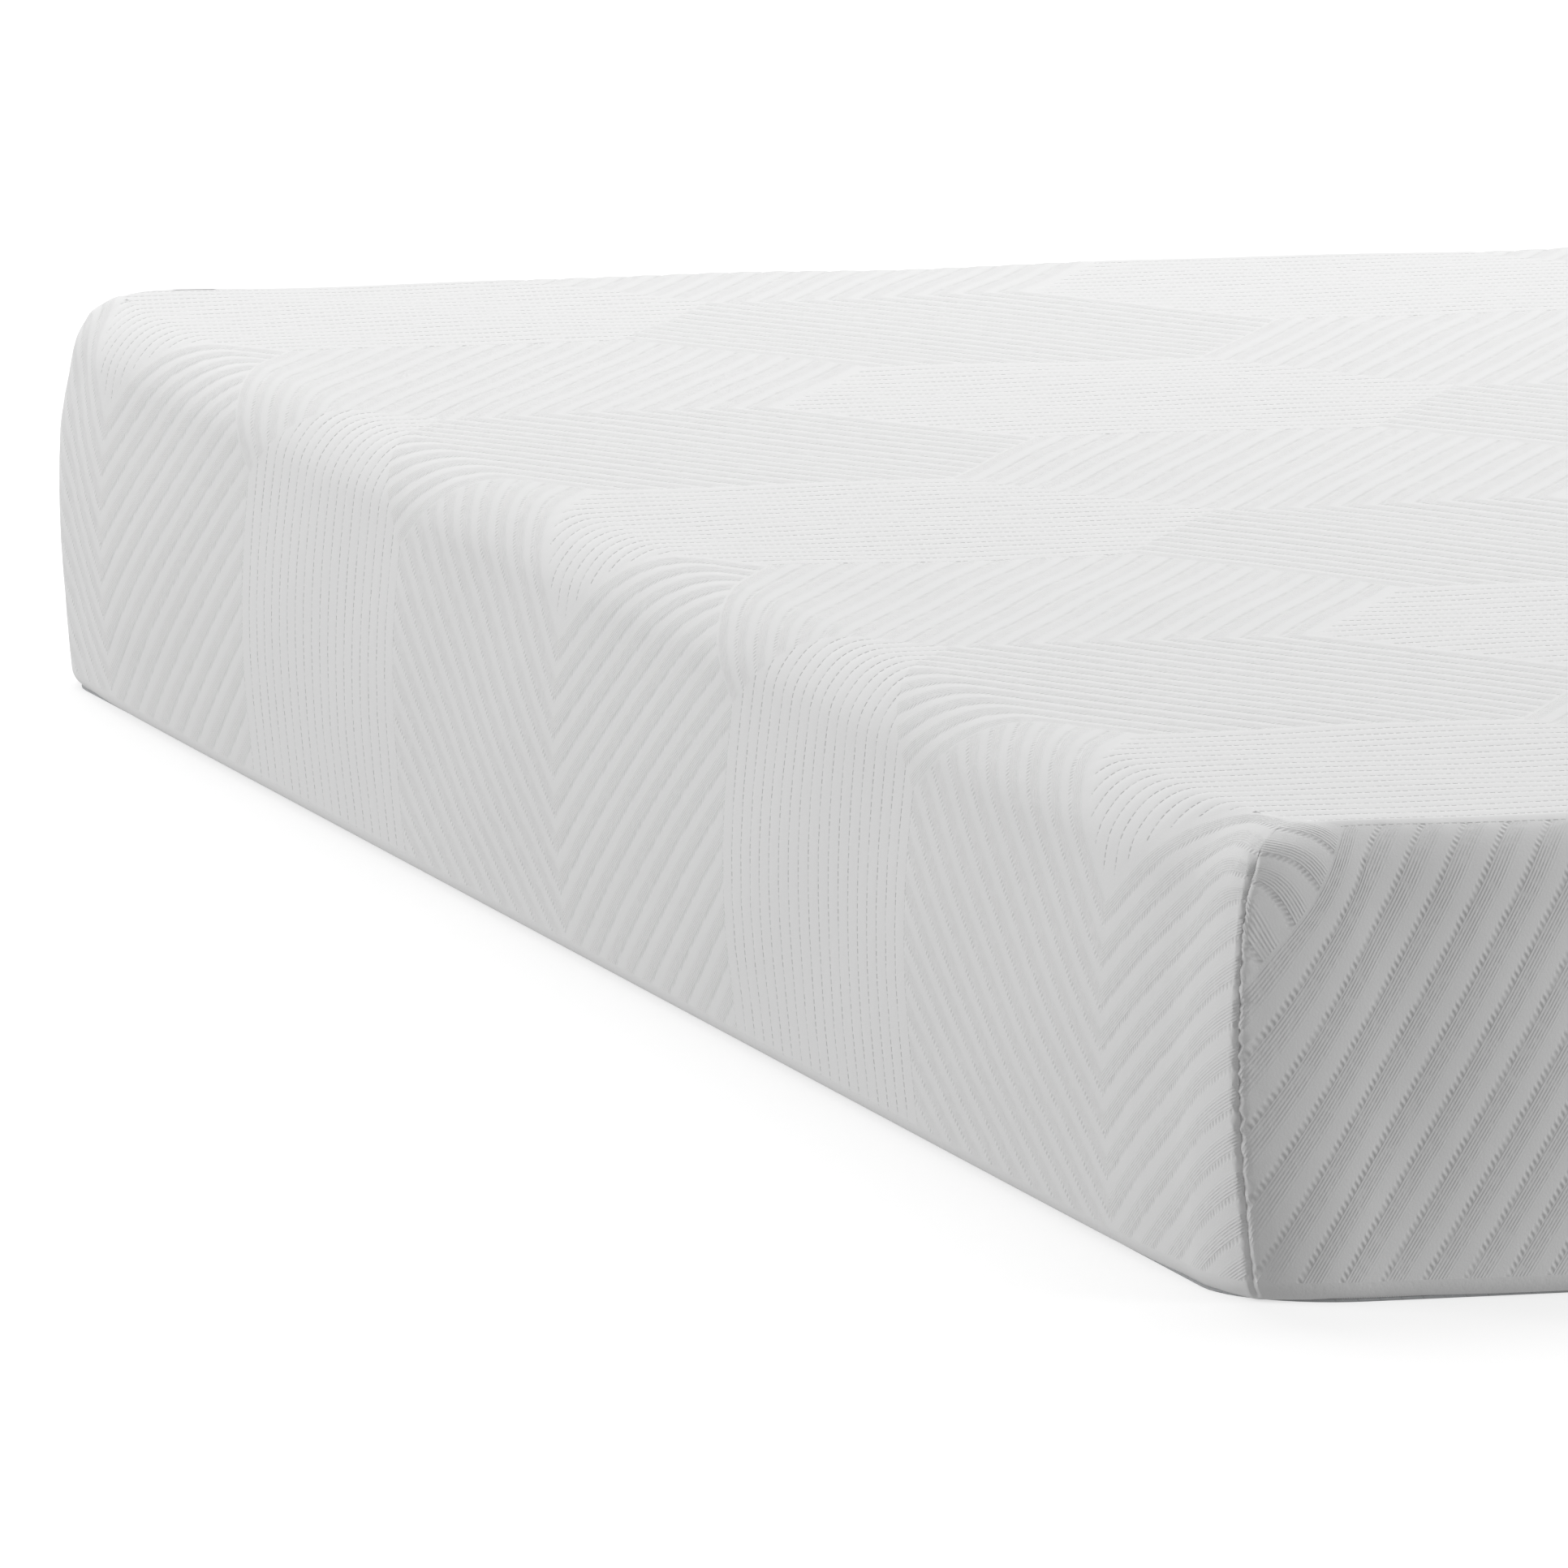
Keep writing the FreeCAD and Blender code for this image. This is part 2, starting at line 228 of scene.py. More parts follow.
def line_step(x, y):
    """How far apart points along a channel may be: close where the cloth bends."""
    past_x = abs(x) - (HALF_X - TOP_EDGE_RADIUS)
    past_y = abs(y) - (HALF_Y - TOP_EDGE_RADIUS)
    bend_end = math.pi / 2 * TOP_EDGE_RADIUS + BEND_MARGIN
    bends = -BEND_MARGIN < past_x < bend_end or -BEND_MARGIN < past_y < bend_end
    in_corner = abs(x) > CORNER_X - BEND_MARGIN and abs(y) > CORNER_Y - BEND_MARGIN
    return BEND_STEP if bends or in_corner else FLAT_STEP


def stations(start, end, place):
    """Points from start to end along a line, no further apart than the cloth there allows."""
    middle = (start + end) / 2
    allowed = min(line_step(*place(at)) for at in (start, middle, end))
    if end - start <= allowed:
        return [start]
    return stations(start, middle, place) + stations(middle, end, place)


def channel_height(fraction):
    """The relief at a fraction of the way from one groove to the next."""
    rise = 1 - (1 - 2 * min(fraction, 1 - fraction)) ** RELIEF_POWER
    return RELIEF * (rise - RELIEF_SINK)


class FlatQuilt:
    """The quilted sheet as flat triangles, each corner knowing its place in its own channel."""

    def __init__(self):
        self.index = {}
        self.places = []
        self.heights = []
        self.faces = []
        self.face_lines = []
        self.face_kinds = []

    def vertex(self, x, y, height):
        """The vertex at a place, shared with whatever cell has one there already."""
        column, row = round(x / WELD), round(y / WELD)
        near = ((column + i, row + j) for i in (0, -1, 1) for j in (0, -1, 1))
        key = next((key for key in near if key in self.index), (column, row))
        if key not in self.index:
            self.index[key] = len(self.places)
            self.places.append((x, y, 0.0))
            self.heights.append([])
        self.heights[self.index[key]].append(height)
        return self.index[key]

    def strip(self, low, high, kind):
        """Triangles between two lines of (index, along, across) points, both in order."""
        i = j = 0
        while i < len(low) - 1 or j < len(high) - 1:
            low_first = i < len(low) - 1 and (j == len(high) - 1 or low[i + 1][1] <= high[j + 1][1])
            corners = [low[i], low[i + 1] if low_first else high[j + 1], high[j]]
            self.faces.append([corner[0] for corner in corners])
            self.face_lines.append([corner[1:] for corner in corners])
            self.face_kinds.append(kind)
            i += low_first
            j += not low_first

    def cell(self, centre, kind):
        """One hexagon, filled with channels that run along its own direction."""
        along_x, along_y = math.cos(LINE_ANGLE[kind]), math.sin(LINE_ANGLE[kind])

        def place(u, n):
            return (centre[0] + u * along_x - n * along_y, centre[1] + u * along_y + n * along_x)

        previous = None
        for row in range(CHANNELS + 1):
            for fraction in CHANNEL_NODES if row < CHANNELS else (0,):
                n = -CELL_WIDTH / 2 + (row + fraction) * PITCH
                reach = CELL_SIDE - abs(n) / math.sqrt(3)
                on_side = fraction == 0 and row in (0, CHANNELS)
                if on_side:
                    steps = (k + f for k in range(CHANNELS) for f in CHANNEL_NODES)
                    places = [-reach + step * SIDE_PITCH for step in steps]
                    places = [u for u in places if u < reach - MM] + [reach]
                else:
                    inner = reach - CHANNEL_END
                    places = stations(-inner, inner, lambda u: place(u, n))
                    places = [-reach] + places + [inner, reach]
                edge = on_side and kind != "across"
                height = channel_height(EDGE_FRACTION if edge else fraction)
                line = [(self.vertex(*place(u, n), height), u, n) for u in places]
                if previous:
                    self.strip(previous, line, 1.0 if kind == "across" else 0.0)
                previous = line

    def mesh(self):
        mesh = bpy.data.meshes.new("flat_quilt")
        mesh.from_pydata(self.places, [], self.faces)
        relief = mesh.attributes.new("relief", "FLOAT", "POINT")
        relief.data.foreach_set("value", [sum(h) / len(h) for h in self.heights])
        lines = mesh.uv_layers.new(name="Channel")
        lines.data.foreach_set("uv", np.array(self.face_lines, dtype=np.float32).reshape(-1))
        kinds = mesh.attributes.new("across", "FLOAT", "FACE")
        kinds.data.foreach_set("value", self.face_kinds)
        return mesh


def flat_quilt():
    """Every hexagon that the sheet needs, in rows that repeat across, rising, falling."""
    quilt = FlatQuilt()
    order = ("rising", "across", "falling")
    for row in range(-1, 9):
        centre_x = ROW_START + row * ROW_PITCH
        shift = 1.5 * CELL_WIDTH if row % 2 else 0.0
        for column in range(-6, 10):
            centre_y = COLUMN_START + shift + (column - 2) * CELL_WIDTH
            if abs(centre_x) - CELL_SIDE > SHEET_X or abs(centre_y) - CELL_WIDTH / 2 > SHEET_Y:
                continue
            quilt.cell((centre_x, centre_y), order[(column - 2) % 3])
    return quilt.mesh()


# ---- the sheet, cut and folded


def cut(bm, geometry, place, normal, clear_outer=False):
    """Cuts faces along a plane, and drops what lies on its normal's side if asked."""
    bmesh.ops.bisect_plane(
        bm, geom=geometry, dist=1e-6, plane_co=place, plane_no=normal, clear_outer=clear_outer
    )


def faces_where(bm, test):
    """The faces whose middles answer to a test."""
    return [face for face in bm.faces if test(face.calc_center_median())]


def drop_faces(bm, test):
    bmesh.ops.delete(bm, geom=faces_where(bm, test), context="FACES")


def with_edges(faces):
    """The faces with their edges and vertices, as bisect_plane wants them."""
    edges = {edge for face in faces for edge in face.edges}
    verts = {vert for face in faces for vert in face.verts}
    return list(faces) + list(edges) + list(verts)


def cut_across(bm, side, place, facing, clear_outer=False):
    """Cuts the whole sheet on a line across one axis."""
    point = [0.0, 0.0, 0.0]
    point[side] = place
    normal = [0.0, 0.0, 0.0]
    normal[side] = facing
    cut(bm, bm.verts[:] + bm.edges[:] + bm.faces[:], point, normal, clear_outer)


def smooth_step(values, low, high):
    ratio = np.clip((values - low) / (high - low), 0, 1)
    return ratio * ratio * (3 - 2 * ratio)


def add_row(bm, previous, places, height, side, flipped):
    """New vertices beside a sorted edge and the faces between, plain and unstitched."""
    relief = bm.verts.layers.float["relief"]
    lines = bm.loops.layers.uv["Channel"]
    row = [bm.verts.new(place) for place in places]
    for vert in row:
        vert[relief] = height
    for i in range(len(row) - 1):
        quad = [previous[i], previous[i + 1], row[i + 1], row[i]]
        if flipped:
            quad.reverse()
        for loop in bm.faces.new(quad).loops:
            loop[lines].uv = (loop.vert.co[1 - side], PITCH / 4)
    return row


def hem_rows(bm, side, sign):
    """Rows past the quilting's edge on one side, which become the hem's rounding and its turn."""
    limit = sign * (SHEET_X, SHEET_Y)[side]
    edge = [vert for vert in bm.verts if abs(vert.co[side] - limit) < ON_PLANE]
    edge.sort(key=lambda vert: vert.co[1 - side])
    turned = PROFILE_LENGTH[PROFILE_LENGTH > WALL_END + 0.3 * MM] - WALL_END
    outward = Vector((sign, 0, 0)) if side == 0 else Vector((0, sign, 0))
    row = edge
    for past in turned[::2].tolist() + [turned[-1]]:
        places = [vert.co + outward * past for vert in edge]
        row = add_row(bm, row, places, 0.0, side, (sign > 0) == (side == 0))


def cut_sheet():
    """The flat sheet with its outline, hem rows, window and fold lines cut in."""
    bm = bmesh.new()
    bm.from_mesh(flat_quilt())
    for side, limit in enumerate((SHEET_X, SHEET_Y)):
        for sign in (-1, 1):
            cut_across(bm, side, sign * limit, sign, clear_outer=True)
    for side, limit in enumerate((CORNER_X, CORNER_Y)):
        for sign in (-1, 1):
            cut_across(bm, side, sign * limit, 1.0)
    spare_x, spare_y = CORNER_X + CORNER_SPARE, CORNER_Y + CORNER_SPARE
    drop_faces(bm, lambda middle: abs(middle.x) > spare_x and abs(middle.y) > spare_y)
    relief = bm.verts.layers.float["relief"]
    for vert in bm.verts:
        margin = min(SHEET_X - abs(vert.co.x), SHEET_Y - abs(vert.co.y))
        if margin < QUILT_FADE:
            vert[relief] *= max(margin, 0.0) / QUILT_FADE
    for side in (0, 1):
        for sign in (-1, 1):
            hem_rows(bm, side, sign)
    cut_window(bm)
    return bm


def cut_window(bm):
    """Cuts the hem away along the right wall and turns the cloth in along the new edge."""
    start, end = WINDOW_Y
    near = faces_where(bm, lambda middle: middle.x > WINDOW_X - 20 * MM)
    cut(bm, with_edges(near), (WINDOW_X, 0, 0), (1, 0, 0))
    for level in WINDOW_Y:
        near = faces_where(bm, lambda middle: middle.x > WINDOW_X)
        cut(bm, with_edges(near), (0, level, 0), (0, 1, 0))
    drop_faces(bm, lambda middle: middle.x > WINDOW_X and start < middle.y < end)
    edge = [vert for vert in bm.verts if abs(vert.co.x - WINDOW_X) < ON_PLANE]
    edge = [vert for vert in edge if start - ON_PLANE / 2 < vert.co.y < end + ON_PLANE / 2]
    edge.sort(key=lambda vert: vert.co.y)
    relief = bm.verts.layers.float["relief"]
    for vert in edge:
        vert[relief] = 0.0
    row = edge
    for back in (0.0, WINDOW_TURN):
        places = [(WINDOW_X - back, vert.co.y, 0) for vert in edge]
        row = add_row(bm, row, places, -KNIT_THICKNESS, 0, True)


def bulge(level, from_corner):
    """How far a filled wall stands out at a height and a distance from the nearest corner."""
    swell = np.sin(np.pi * np.clip(level / BULGE_TOP, 0, 1))
    near = 1 / (1 + (from_corner / CORNER_REACH) ** 2)
    draw = CORNER_DRAW * (1 + smooth_step(level, *SHOULDER))
    return WALL_BULGE * swell * (1 - 0.3 * near) - draw * near


def corner_push(level, turn, swell, signs):
    """How much further a corner stands out, by the angle from the wall towards the seam.

    Beside the seam it comes to an edge, and above the seam the edge is rounded off. No two
    corners are filled quite alike.
    """
    full = CORNER_FULLNESS + CORNER_BULGE * np.sin(np.pi * np.clip(level / FULL_HEIGHT, 0, 1))
    scale = np.ones_like(level)
    slack = np.zeros_like(level)
    for corner, (filling, droop) in CORNER_FILLING.items():
        here = (signs == corner).all(axis=1)
        scale[here] = filling
        slack[here] = droop
    full = full * scale * (1 - slack * smooth_step(level, *SHOULDER))
    turn = np.clip(turn, 0, math.pi / 4)
    share = (1 / np.cos(turn) - 1) / (math.sqrt(2) - 1)
    over = smooth_step(level, SEAM_TOP - 30 * MM, SEAM_TOP)
    return (full - swell) * (share - over * 0.25 * (turn / (math.pi / 4)) ** 11)


def fold(places, heights, side):
    """Folds flat places over the edges and down the walls that face along one axis.

    Round a corner, the cloth keeps its flat shape on the top and lies true to the wall below,
    and what is over in between is taken up by the dart.
    """
    other = 1 - side
    half = (CORNER_X, CORNER_Y)
    past = np.abs(places[:, side]) - half[side]
    beside = np.abs(places[:, other]) - half[other]
    in_corner = (beside > 0) & (past > 0)
    true_wall = smooth_step(past, *SQUARING)
    polar = np.hypot(past, np.maximum(beside, 0))
    turn = (1 - true_wall) * np.arctan2(beside, past) + true_wall * beside / CORNER_RADIUS
    turn = np.where(in_corner, turn, 0.0)
    reach = np.where(in_corner, (1 - true_wall) * polar + true_wall * past, past)
    length = reach - FLAT_CORNER_RADIUS
    out = np.where(length < 0, length, np.interp(length, PROFILE_LENGTH, PROFILE[:, 0]))
    level = np.interp(length, PROFILE_LENGTH, PROFILE[:, 1])
    normal_out = np.interp(length, PROFILE_LENGTH, PROFILE[:, 2])
    normal_up = np.interp(length, PROFILE_LENGTH, PROFILE[:, 3])
    swell = np.where(length > 0, bulge(level, np.maximum(-beside, 0)), 0.0)
    swell = swell * smooth_step(length, -12 * MM, 20 * MM)
    push = corner_push(level, turn, swell, np.sign(places))
    push = push * smooth_step(length, -12 * MM, 25 * MM)
    out = out + swell + push + FLAT_CORNER_RADIUS
    # The filling is uneven in slow waves
    x, y = places[:, 0], places[:, 1]
    wave = np.sin(x * 23 + 1.3) * np.sin(y * 17 + 0.4) + 0.6 * np.sin(x * 41 + y * 29)
    plumpness = 1 + (WALL_PLUMPNESS[side] - 1) * smooth_step(length, 0, 40 * MM)
    lift = heights * plumpness + SWELL * wave * smooth_step(WALL_END - length, 14 * MM, 40 * MM)
    from_seam = polar * np.sin(np.maximum(math.pi / 4 - turn, 0))
    lift = np.where(in_corner & (length > 0), lift * smooth_step(from_seam, 0, QUILT_FADE), lift)
    stand = out + lift * normal_out
    outward = half[side] + stand * np.cos(turn)
    sideways = half[other] + stand * np.sin(turn)
    folded = np.zeros((len(places), 3))
    folded[:, side] = np.where(past > 0, np.sign(places[:, side]) * outward, places[:, side])
    folded[:, other] = np.where(in_corner, np.sign(places[:, other]) * sideways, places[:, other])
    folded[:, 2] = level + lift * normal_up
    return folded


def folded_half(flat, side):
    """The part of the sheet whose walls face along one axis, folded, with its corners trimmed."""
    bm = flat.copy()
    half = (CORNER_X, CORNER_Y)

    def unused(middle):
        past = abs(middle[side]) - half[side]
        beside = abs(middle[1 - side]) - half[1 - side]
        if past > 0:
            return beside >= CORNER_SPARE
        return side == 1 or beside > 0

    drop_faces(bm, unused)
    relief = bm.verts.layers.float["relief"]
    places = np.array([v.co[:2] for v in bm.verts])
    heights = np.array([v[relief] for v in bm.verts])
    for vert, place in zip(bm.verts, fold(places, heights, side)):
        vert.co = place
    for sign_x, sign_y in CORNERS:
        trim_corner(bm, sign_x, sign_y, side)
    return bm


def corner_faces(bm, sign_x, sign_y):
    """The faces that lie in one of the four corners."""
    return faces_where(bm, lambda at: at.x * sign_x > CORNER_X and at.y * sign_y > CORNER_Y)


def tuck_seam(bm, sign_x, sign_y):
    """Turns the trimmed edge in behind the cover, as a seam allowance is."""

    def on_seam(vert):
        past_x = vert.co.x * sign_x - CORNER_X
        past_y = vert.co.y * sign_y - CORNER_Y
        below = vert.co.z <= SEAM_TOP - SEAM_FADE / 2
        return below and past_x >= 0 and abs(past_x - past_y) <= 0.01 * MM

    sewn = [edge for edge in bm.edges if edge.is_boundary and all(map(on_seam, edge.verts))]
    made = bmesh.ops.extrude_edge_only(bm, edges=sewn)["geom"]
    inward = Vector((-sign_x, -sign_y, 0)).normalized() * SEAM_TUCK
    for vert in made:
        if isinstance(vert, bmesh.types.BMVert):
            vert.co += inward


def trim_corner(bm, sign_x, sign_y, side):
    """Ends one half of the cover on the corner's diagonal, with finer faces beside it."""
    centre = Vector((sign_x * CORNER_X, sign_y * CORNER_Y, 0))
    normal = Vector((-sign_x, sign_y, 0)).normalized()
    if side == 1:
        normal.negate()
    cut(bm, with_edges(corner_faces(bm, sign_x, sign_y)), centre, normal, clear_outer=True)
    tuck_seam(bm, sign_x, sign_y)
    for distance in SEAM_CUTS:
        near = corner_faces(bm, sign_x, sign_y)
        cut(bm, with_edges(near), centre - normal * distance, normal)


def vertex_places(mesh):
    """A mesh's vertices as the rows of an array."""
    places = np.empty(len(mesh.vertices) * 3)
    mesh.vertices.foreach_get("co", places)
    return places.reshape(-1, 3)


def sew_corners(mesh, widen=1.0):
    """Draws the cloth in along the four corner seams."""
    places = vertex_places(mesh)
    past = np.abs(places[:, :2]) - (CORNER_X, CORNER_Y)
    in_corner = (past > 0).all(axis=1)
    distance = np.abs(past[:, 0] - past[:, 1]) / math.sqrt(2)
    sewn = 1 - smooth_step(places[:, 2], SEAM_TOP - SEAM_FADE, SEAM_TOP)
    sewn = sewn * smooth_step(places[:, 2], 0, 4 * MM)
    crease = SEAM_DEPTH * np.exp(-((distance / (SEAM_WIDTH * widen)) ** 2))
    valley = SEAM_VALLEY * np.exp(-((distance / (SEAM_VALLEY_WIDTH * widen)) ** 2))
    inward = np.where(in_corner, (crease + valley) * sewn, 0.0) / math.sqrt(2)
    places[:, :2] -= np.sign(places[:, :2]) * inward[:, None]
    mesh.vertices.foreach_set("co", places.reshape(-1))


def linked(name, data):
    """A new object in the scene."""
    made = bpy.data.objects.new(name, data)
    bpy.context.scene.collection.objects.link(made)
    return made


def new_object(name, mesh, material, body):
    """A piece with its material, riding on its body."""
    piece = linked(name, mesh)
    mesh.materials.clear()
    mesh.materials.append(material)
    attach(piece, body)
    return piece


def knit_cover(material):
    """The knitted face of the cover, quilted, folded and sewn at its corners."""
    flat = cut_sheet()
    whole = bmesh.new()
    for side in (0, 1):
        half = folded_half(flat, side)
        part = bpy.data.meshes.new("half")
        half.to_mesh(part)
        half.free()
        whole.from_mesh(part)
        bpy.data.meshes.remove(part)
    flat.free()
    bmesh.ops.remove_doubles(whole, verts=whole.verts[:], dist=4e-6)
    mesh = bpy.data.meshes.new("knit_cover")
    whole.to_mesh(mesh)
    whole.free()
    sew_corners(mesh)
    mesh.shade_smooth()
    piece = new_object("quilted_knit", mesh, material, "cover")
    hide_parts("knit_cover")


# ---- materials


class Finish:
    """One material: a Principled shader with the procedural detail added to it."""

    def __init__(self, name, colour, roughness, sheen=0.0, metallic=0.0):
        self.material = bpy.data.materials.new(name)
        self.material.use_nodes = True
        self.tree = self.material.node_tree
        self.surface = self.tree.nodes["Principled BSDF"]
        self.colour = colour
        settings = {
            "Base Color": (*colour, 1),
            "Roughness": roughness,
            "Specular IOR Level": 0.5 if metallic else 0.2,
            "Sheen Weight": sheen,
            "Sheen Roughness": 0.6,
            "Metallic": metallic,
        }
        for socket, value in settings.items():
            self.surface.inputs[socket].default_value = value

    def add(self, kind, **inputs):
        node = self.tree.nodes.new(kind)
        for name, value in inputs.items():
            self.put(node.inputs[name.replace("_", " ")], value)
        return node

    def put(self, socket, value):
        if isinstance(value, bpy.types.NodeSocket):
            self.tree.links.new(value, socket)
        else:
            socket.default_value = value

    def math(self, operation, *values):
        node = self.tree.nodes.new("ShaderNodeMath")
        node.operation = operation
        for socket, value in zip(node.inputs, values):
            self.put(socket, value)
        return node.outputs[0]

    def ramp(self, value, low, high, start=0.0, end=1.0):
        """A smooth step from start to end as the value goes from low to high."""
        node = self.tree.nodes.new("ShaderNodeMapRange")
        node.interpolation_type = "SMOOTHSTEP"
        for socket, given in zip(node.inputs, (value, low, high, start, end)):
            self.put(socket, given)
        return node.outputs[0]

    def noise(self, scale, detail=2.0, stretch=(1, 1, 1)):
        """Noise in the piece's own space, scale features to the metre."""
        place = self.add("ShaderNodeTexCoord").outputs["Object"]
        mapping = self.add("ShaderNodeMapping", Vector=place, Scale=stretch)
        node = self.add("ShaderNodeTexNoise", Vector=mapping.outputs[0], Scale=scale, Detail=detail)
        return node.outputs[0]

    def cells(self, scale):
        """Distance from scattered points in the piece's own space."""
        place = self.add("ShaderNodeTexCoord").outputs["Object"]
        return self.add("ShaderNodeTexVoronoi", Vector=place, Scale=scale).outputs["Distance"]

    def uv(self, name):
        """The two parts of a UV layer, in metres."""
        layer = self.tree.nodes.new("ShaderNodeUVMap")
        layer.uv_map = name
        parts = self.add("ShaderNodeSeparateXYZ", Vector=layer.outputs[0])
        return parts.outputs[0], parts.outputs[1]

    def times(self, first, *others):
        for other in others:
            first = self.math("MULTIPLY", first, other)
        return first

    def plus_product(self, base, first, second):
        """The base with a product of two values added to it."""
        return self.math("MULTIPLY_ADD", first, second, base)

    def wave(self, value, pitch):
        """A sine from 0 to 1 that repeats with the pitch."""
        turned = self.times(value, 2 * math.pi / pitch)
        return self.plus_product(0.5, self.math("SINE", turned), 0.5)

    def bump(self, height):
        """Uses a height in metres."""
        node = self.add("ShaderNodeBump", Height=height, Distance=1.0, Strength=1.0)
        self.tree.links.new(node.outputs[0], self.surface.inputs["Normal"])

    def shade(self, amount, darkest):
        """Darkens the colour where the amount goes from 1 down to 0."""
        mix = self.tree.nodes.new("ShaderNodeMix")
        mix.data_type = "RGBA"
        self.put(mix.inputs["Factor"], amount)
        dark = [part * darkest for part in self.colour]
        mix.inputs["A"].default_value = (*dark, 1)
        mix.inputs["B"].default_value = (*self.colour, 1)
        self.tree.links.new(mix.outputs["Result"], self.surface.inputs["Base Color"])

    def grained(self, grain, height, amount, darkest):
        """The material, with a grain of the given height and its colour shaded."""
        self.bump(self.times(grain, height))
        self.shade(amount, darkest)
        return self.material


def knit_finish():
    """White stretch knit: stitched grooves, a ribbed half to every channel and fine loops.

    The channels that run across the bed are sewn in running stitch and have no ribs. The stitch
    marks and the ribbed halves are darkened with painted shade.
    """
    finish = Finish("white_knit", (0.74, 0.74, 0.74), 0.9, sheen=0.08)
    along, across = finish.uv("Channel")
    level = finish.tree.nodes.new("ShaderNodeAttribute")
    level.attribute_name = "across"
    running = level.outputs["Fac"]
    plain = finish.math("SUBTRACT", 1.0, running)
    share = finish.math("FRACT", finish.math("DIVIDE", across, PITCH))
    offset = finish.times(finish.math("SUBTRACT", share, 0.5), PITCH)
    distance = finish.math("ABSOLUTE", offset)
    last_groove = CELL_WIDTH / 2 - PITCH / 2
    inside = finish.math("ABSOLUTE", across)
    inside = finish.ramp(inside, last_groove, last_groove + PITCH / 6, 1.0, 0.0)
    inside = finish.times(inside, plain)
    uneven = finish.ramp(finish.noise(160, 1.0), 0.3, 0.65, 0.35, 1.0)
    # Slanting stitches along each groove, or dashes where the stitch is a running one
    tick = finish.wave(finish.plus_product(along, offset, TICK_SLANT), TICK_PITCH)
    tick = finish.math("SUBTRACT", tick, 0.35)
    near = finish.ramp(distance, 0.5 * MM, 1.7 * MM, 1.0, 0.0)
    tick = finish.times(tick, near, uneven, inside)
    dash = finish.ramp(finish.wave(along, DASH_PITCH), 0.2, 0.5)
    near = finish.ramp(distance, 0.3 * MM, 0.9 * MM, 1.0, 0.0)
    dash = finish.times(dash, near, uneven, running)
    stitches = finish.math("ADD", tick, dash)
    # The crease that the stitches pull
    crease = finish.ramp(distance, 0.0, 1.6 * MM, 1.0, 0.0)
    depth = finish.times(inside, -CREASE_DEPTH)
    depth = finish.plus_product(depth, running, -RUNNING_DEPTH)
    # Fine ribs beside it, broken here and there
    below = finish.math("FRACT", finish.math("SUBTRACT", 0.5, share))
    ribbed = finish.times(finish.ramp(below, 0.06, 0.12), finish.ramp(below, 0.45, 0.68, 1.0, 0.0))
    ribbed = finish.times(ribbed, plain)
    broken = finish.ramp(finish.noise(300), 0.3, 0.6, 0.3, 1.0)
    ribs = finish.times(finish.wave(across, RIB_PITCH), ribbed, broken)
    height = finish.times(stitches, -STITCH_DEPTH)
    height = finish.plus_product(height, crease, depth)
    height = finish.plus_product(height, ribs, RIB_HEIGHT)
    height = finish.plus_product(height, finish.noise(1000, 3.0), LOOP_HEIGHT)
    height = finish.plus_product(height, finish.noise(60, 1.0), WAVER_HEIGHT)
    finish.bump(height)
    # Painted shade: the colour is darker in the recessed stitch marks and over the ribbed half of
    # each channel
    painted_shade = finish.plus_product(finish.math("MAXIMUM", stitches, 0.0), ribbed, 0.09)
    finish.shade(finish.math("SUBTRACT", 1.0, painted_shade), 0.75)
    return finish.material


def woven_finish(name, colour, thread, dots=0.0):
    """A plain weave by the piece's own UV, with a raised dot pattern if asked."""
    finish = Finish(name, colour, 0.9, sheen=0.1)
    along, across = finish.uv("Cloth")
    over = finish.wave(along, thread * 2)
    under = finish.wave(across, thread * 2)
    weave = finish.math("ABSOLUTE", finish.math("SUBTRACT", over, under))
    height = finish.times(weave, thread * 0.3)
    height = finish.plus_product(height, finish.noise(700), 0.08 * MM)
    if dots:
        spot = finish.times(finish.wave(along, dots), finish.wave(across, dots))
        height = finish.plus_product(height, finish.ramp(spot, 0.6, 0.75), 0.3 * MM)
    finish.bump(height)
    # Painted shade: the colour is darker where the weave's relief is low, between the threads
    finish.shade(weave, 0.82)
    return finish.material


def fibre_finish(name, colour):
    """Loose white fibre."""
    finish = Finish(name, colour, 0.95, sheen=0.3)
    strands = finish.noise(160, 4.0, (1, 1, 6))
    # Painted shade: the colour is darker where the strands are low
    return finish.grained(strands, 1.5 * MM, strands, 0.8)


def foam_finish(name, colour, pores):
    """Cut foam: open pores of the given number to the metre, and a faint cloudiness."""
    finish = Finish(name, colour, 0.85, sheen=0.05)
    fine = finish.cells(pores)
    height = finish.times(finish.ramp(fine, 0.1, 0.6), 0.35 / pores)
    height = finish.plus_product(height, finish.noise(30), 0.6 * MM)
    finish.bump(height)
    # Painted shade: the colour is darker down in the pores, where the bump sinks
    finish.shade(finish.ramp(fine, 0.05, 0.45), 0.72)
    return finish.material


def thread_finish(name, colour):
    """Overlock thread, wound across the seam."""
    finish = Finish(name, colour, 0.8, sheen=0.1)
    along, across = finish.uv("Cloth")
    winding = finish.wave(finish.plus_product(along, across, 0.5), 1.5 * MM)
    # Painted shade: the colour is darker in the grooves between the windings
    return finish.grained(winding, 0.3 * MM, winding, 0.75)


def nylon_finish(name, colour):
    """Moulded nylon, slightly shiny, with a little wear."""
    finish = Finish(name, colour, 0.4)
    wear = finish.ramp(finish.noise(300), 0.3, 0.6)
    return finish.grained(finish.noise(900), 0.05 * MM, wear, 0.85)


def metal_finish(name, colour):
    """Satin plated metal with fine tumbling marks."""
    finish = Finish(name, colour, 0.32, metallic=1.0)
    marks = finish.noise(1800, 3.0, (1, 0.15, 1))
    # Painted shade: the colour is darker where the tumbling marks dip
    return finish.grained(marks, 0.02 * MM, finish.ramp(marks, 0.3, 0.6), 0.8)


# ---- pieces inside and below


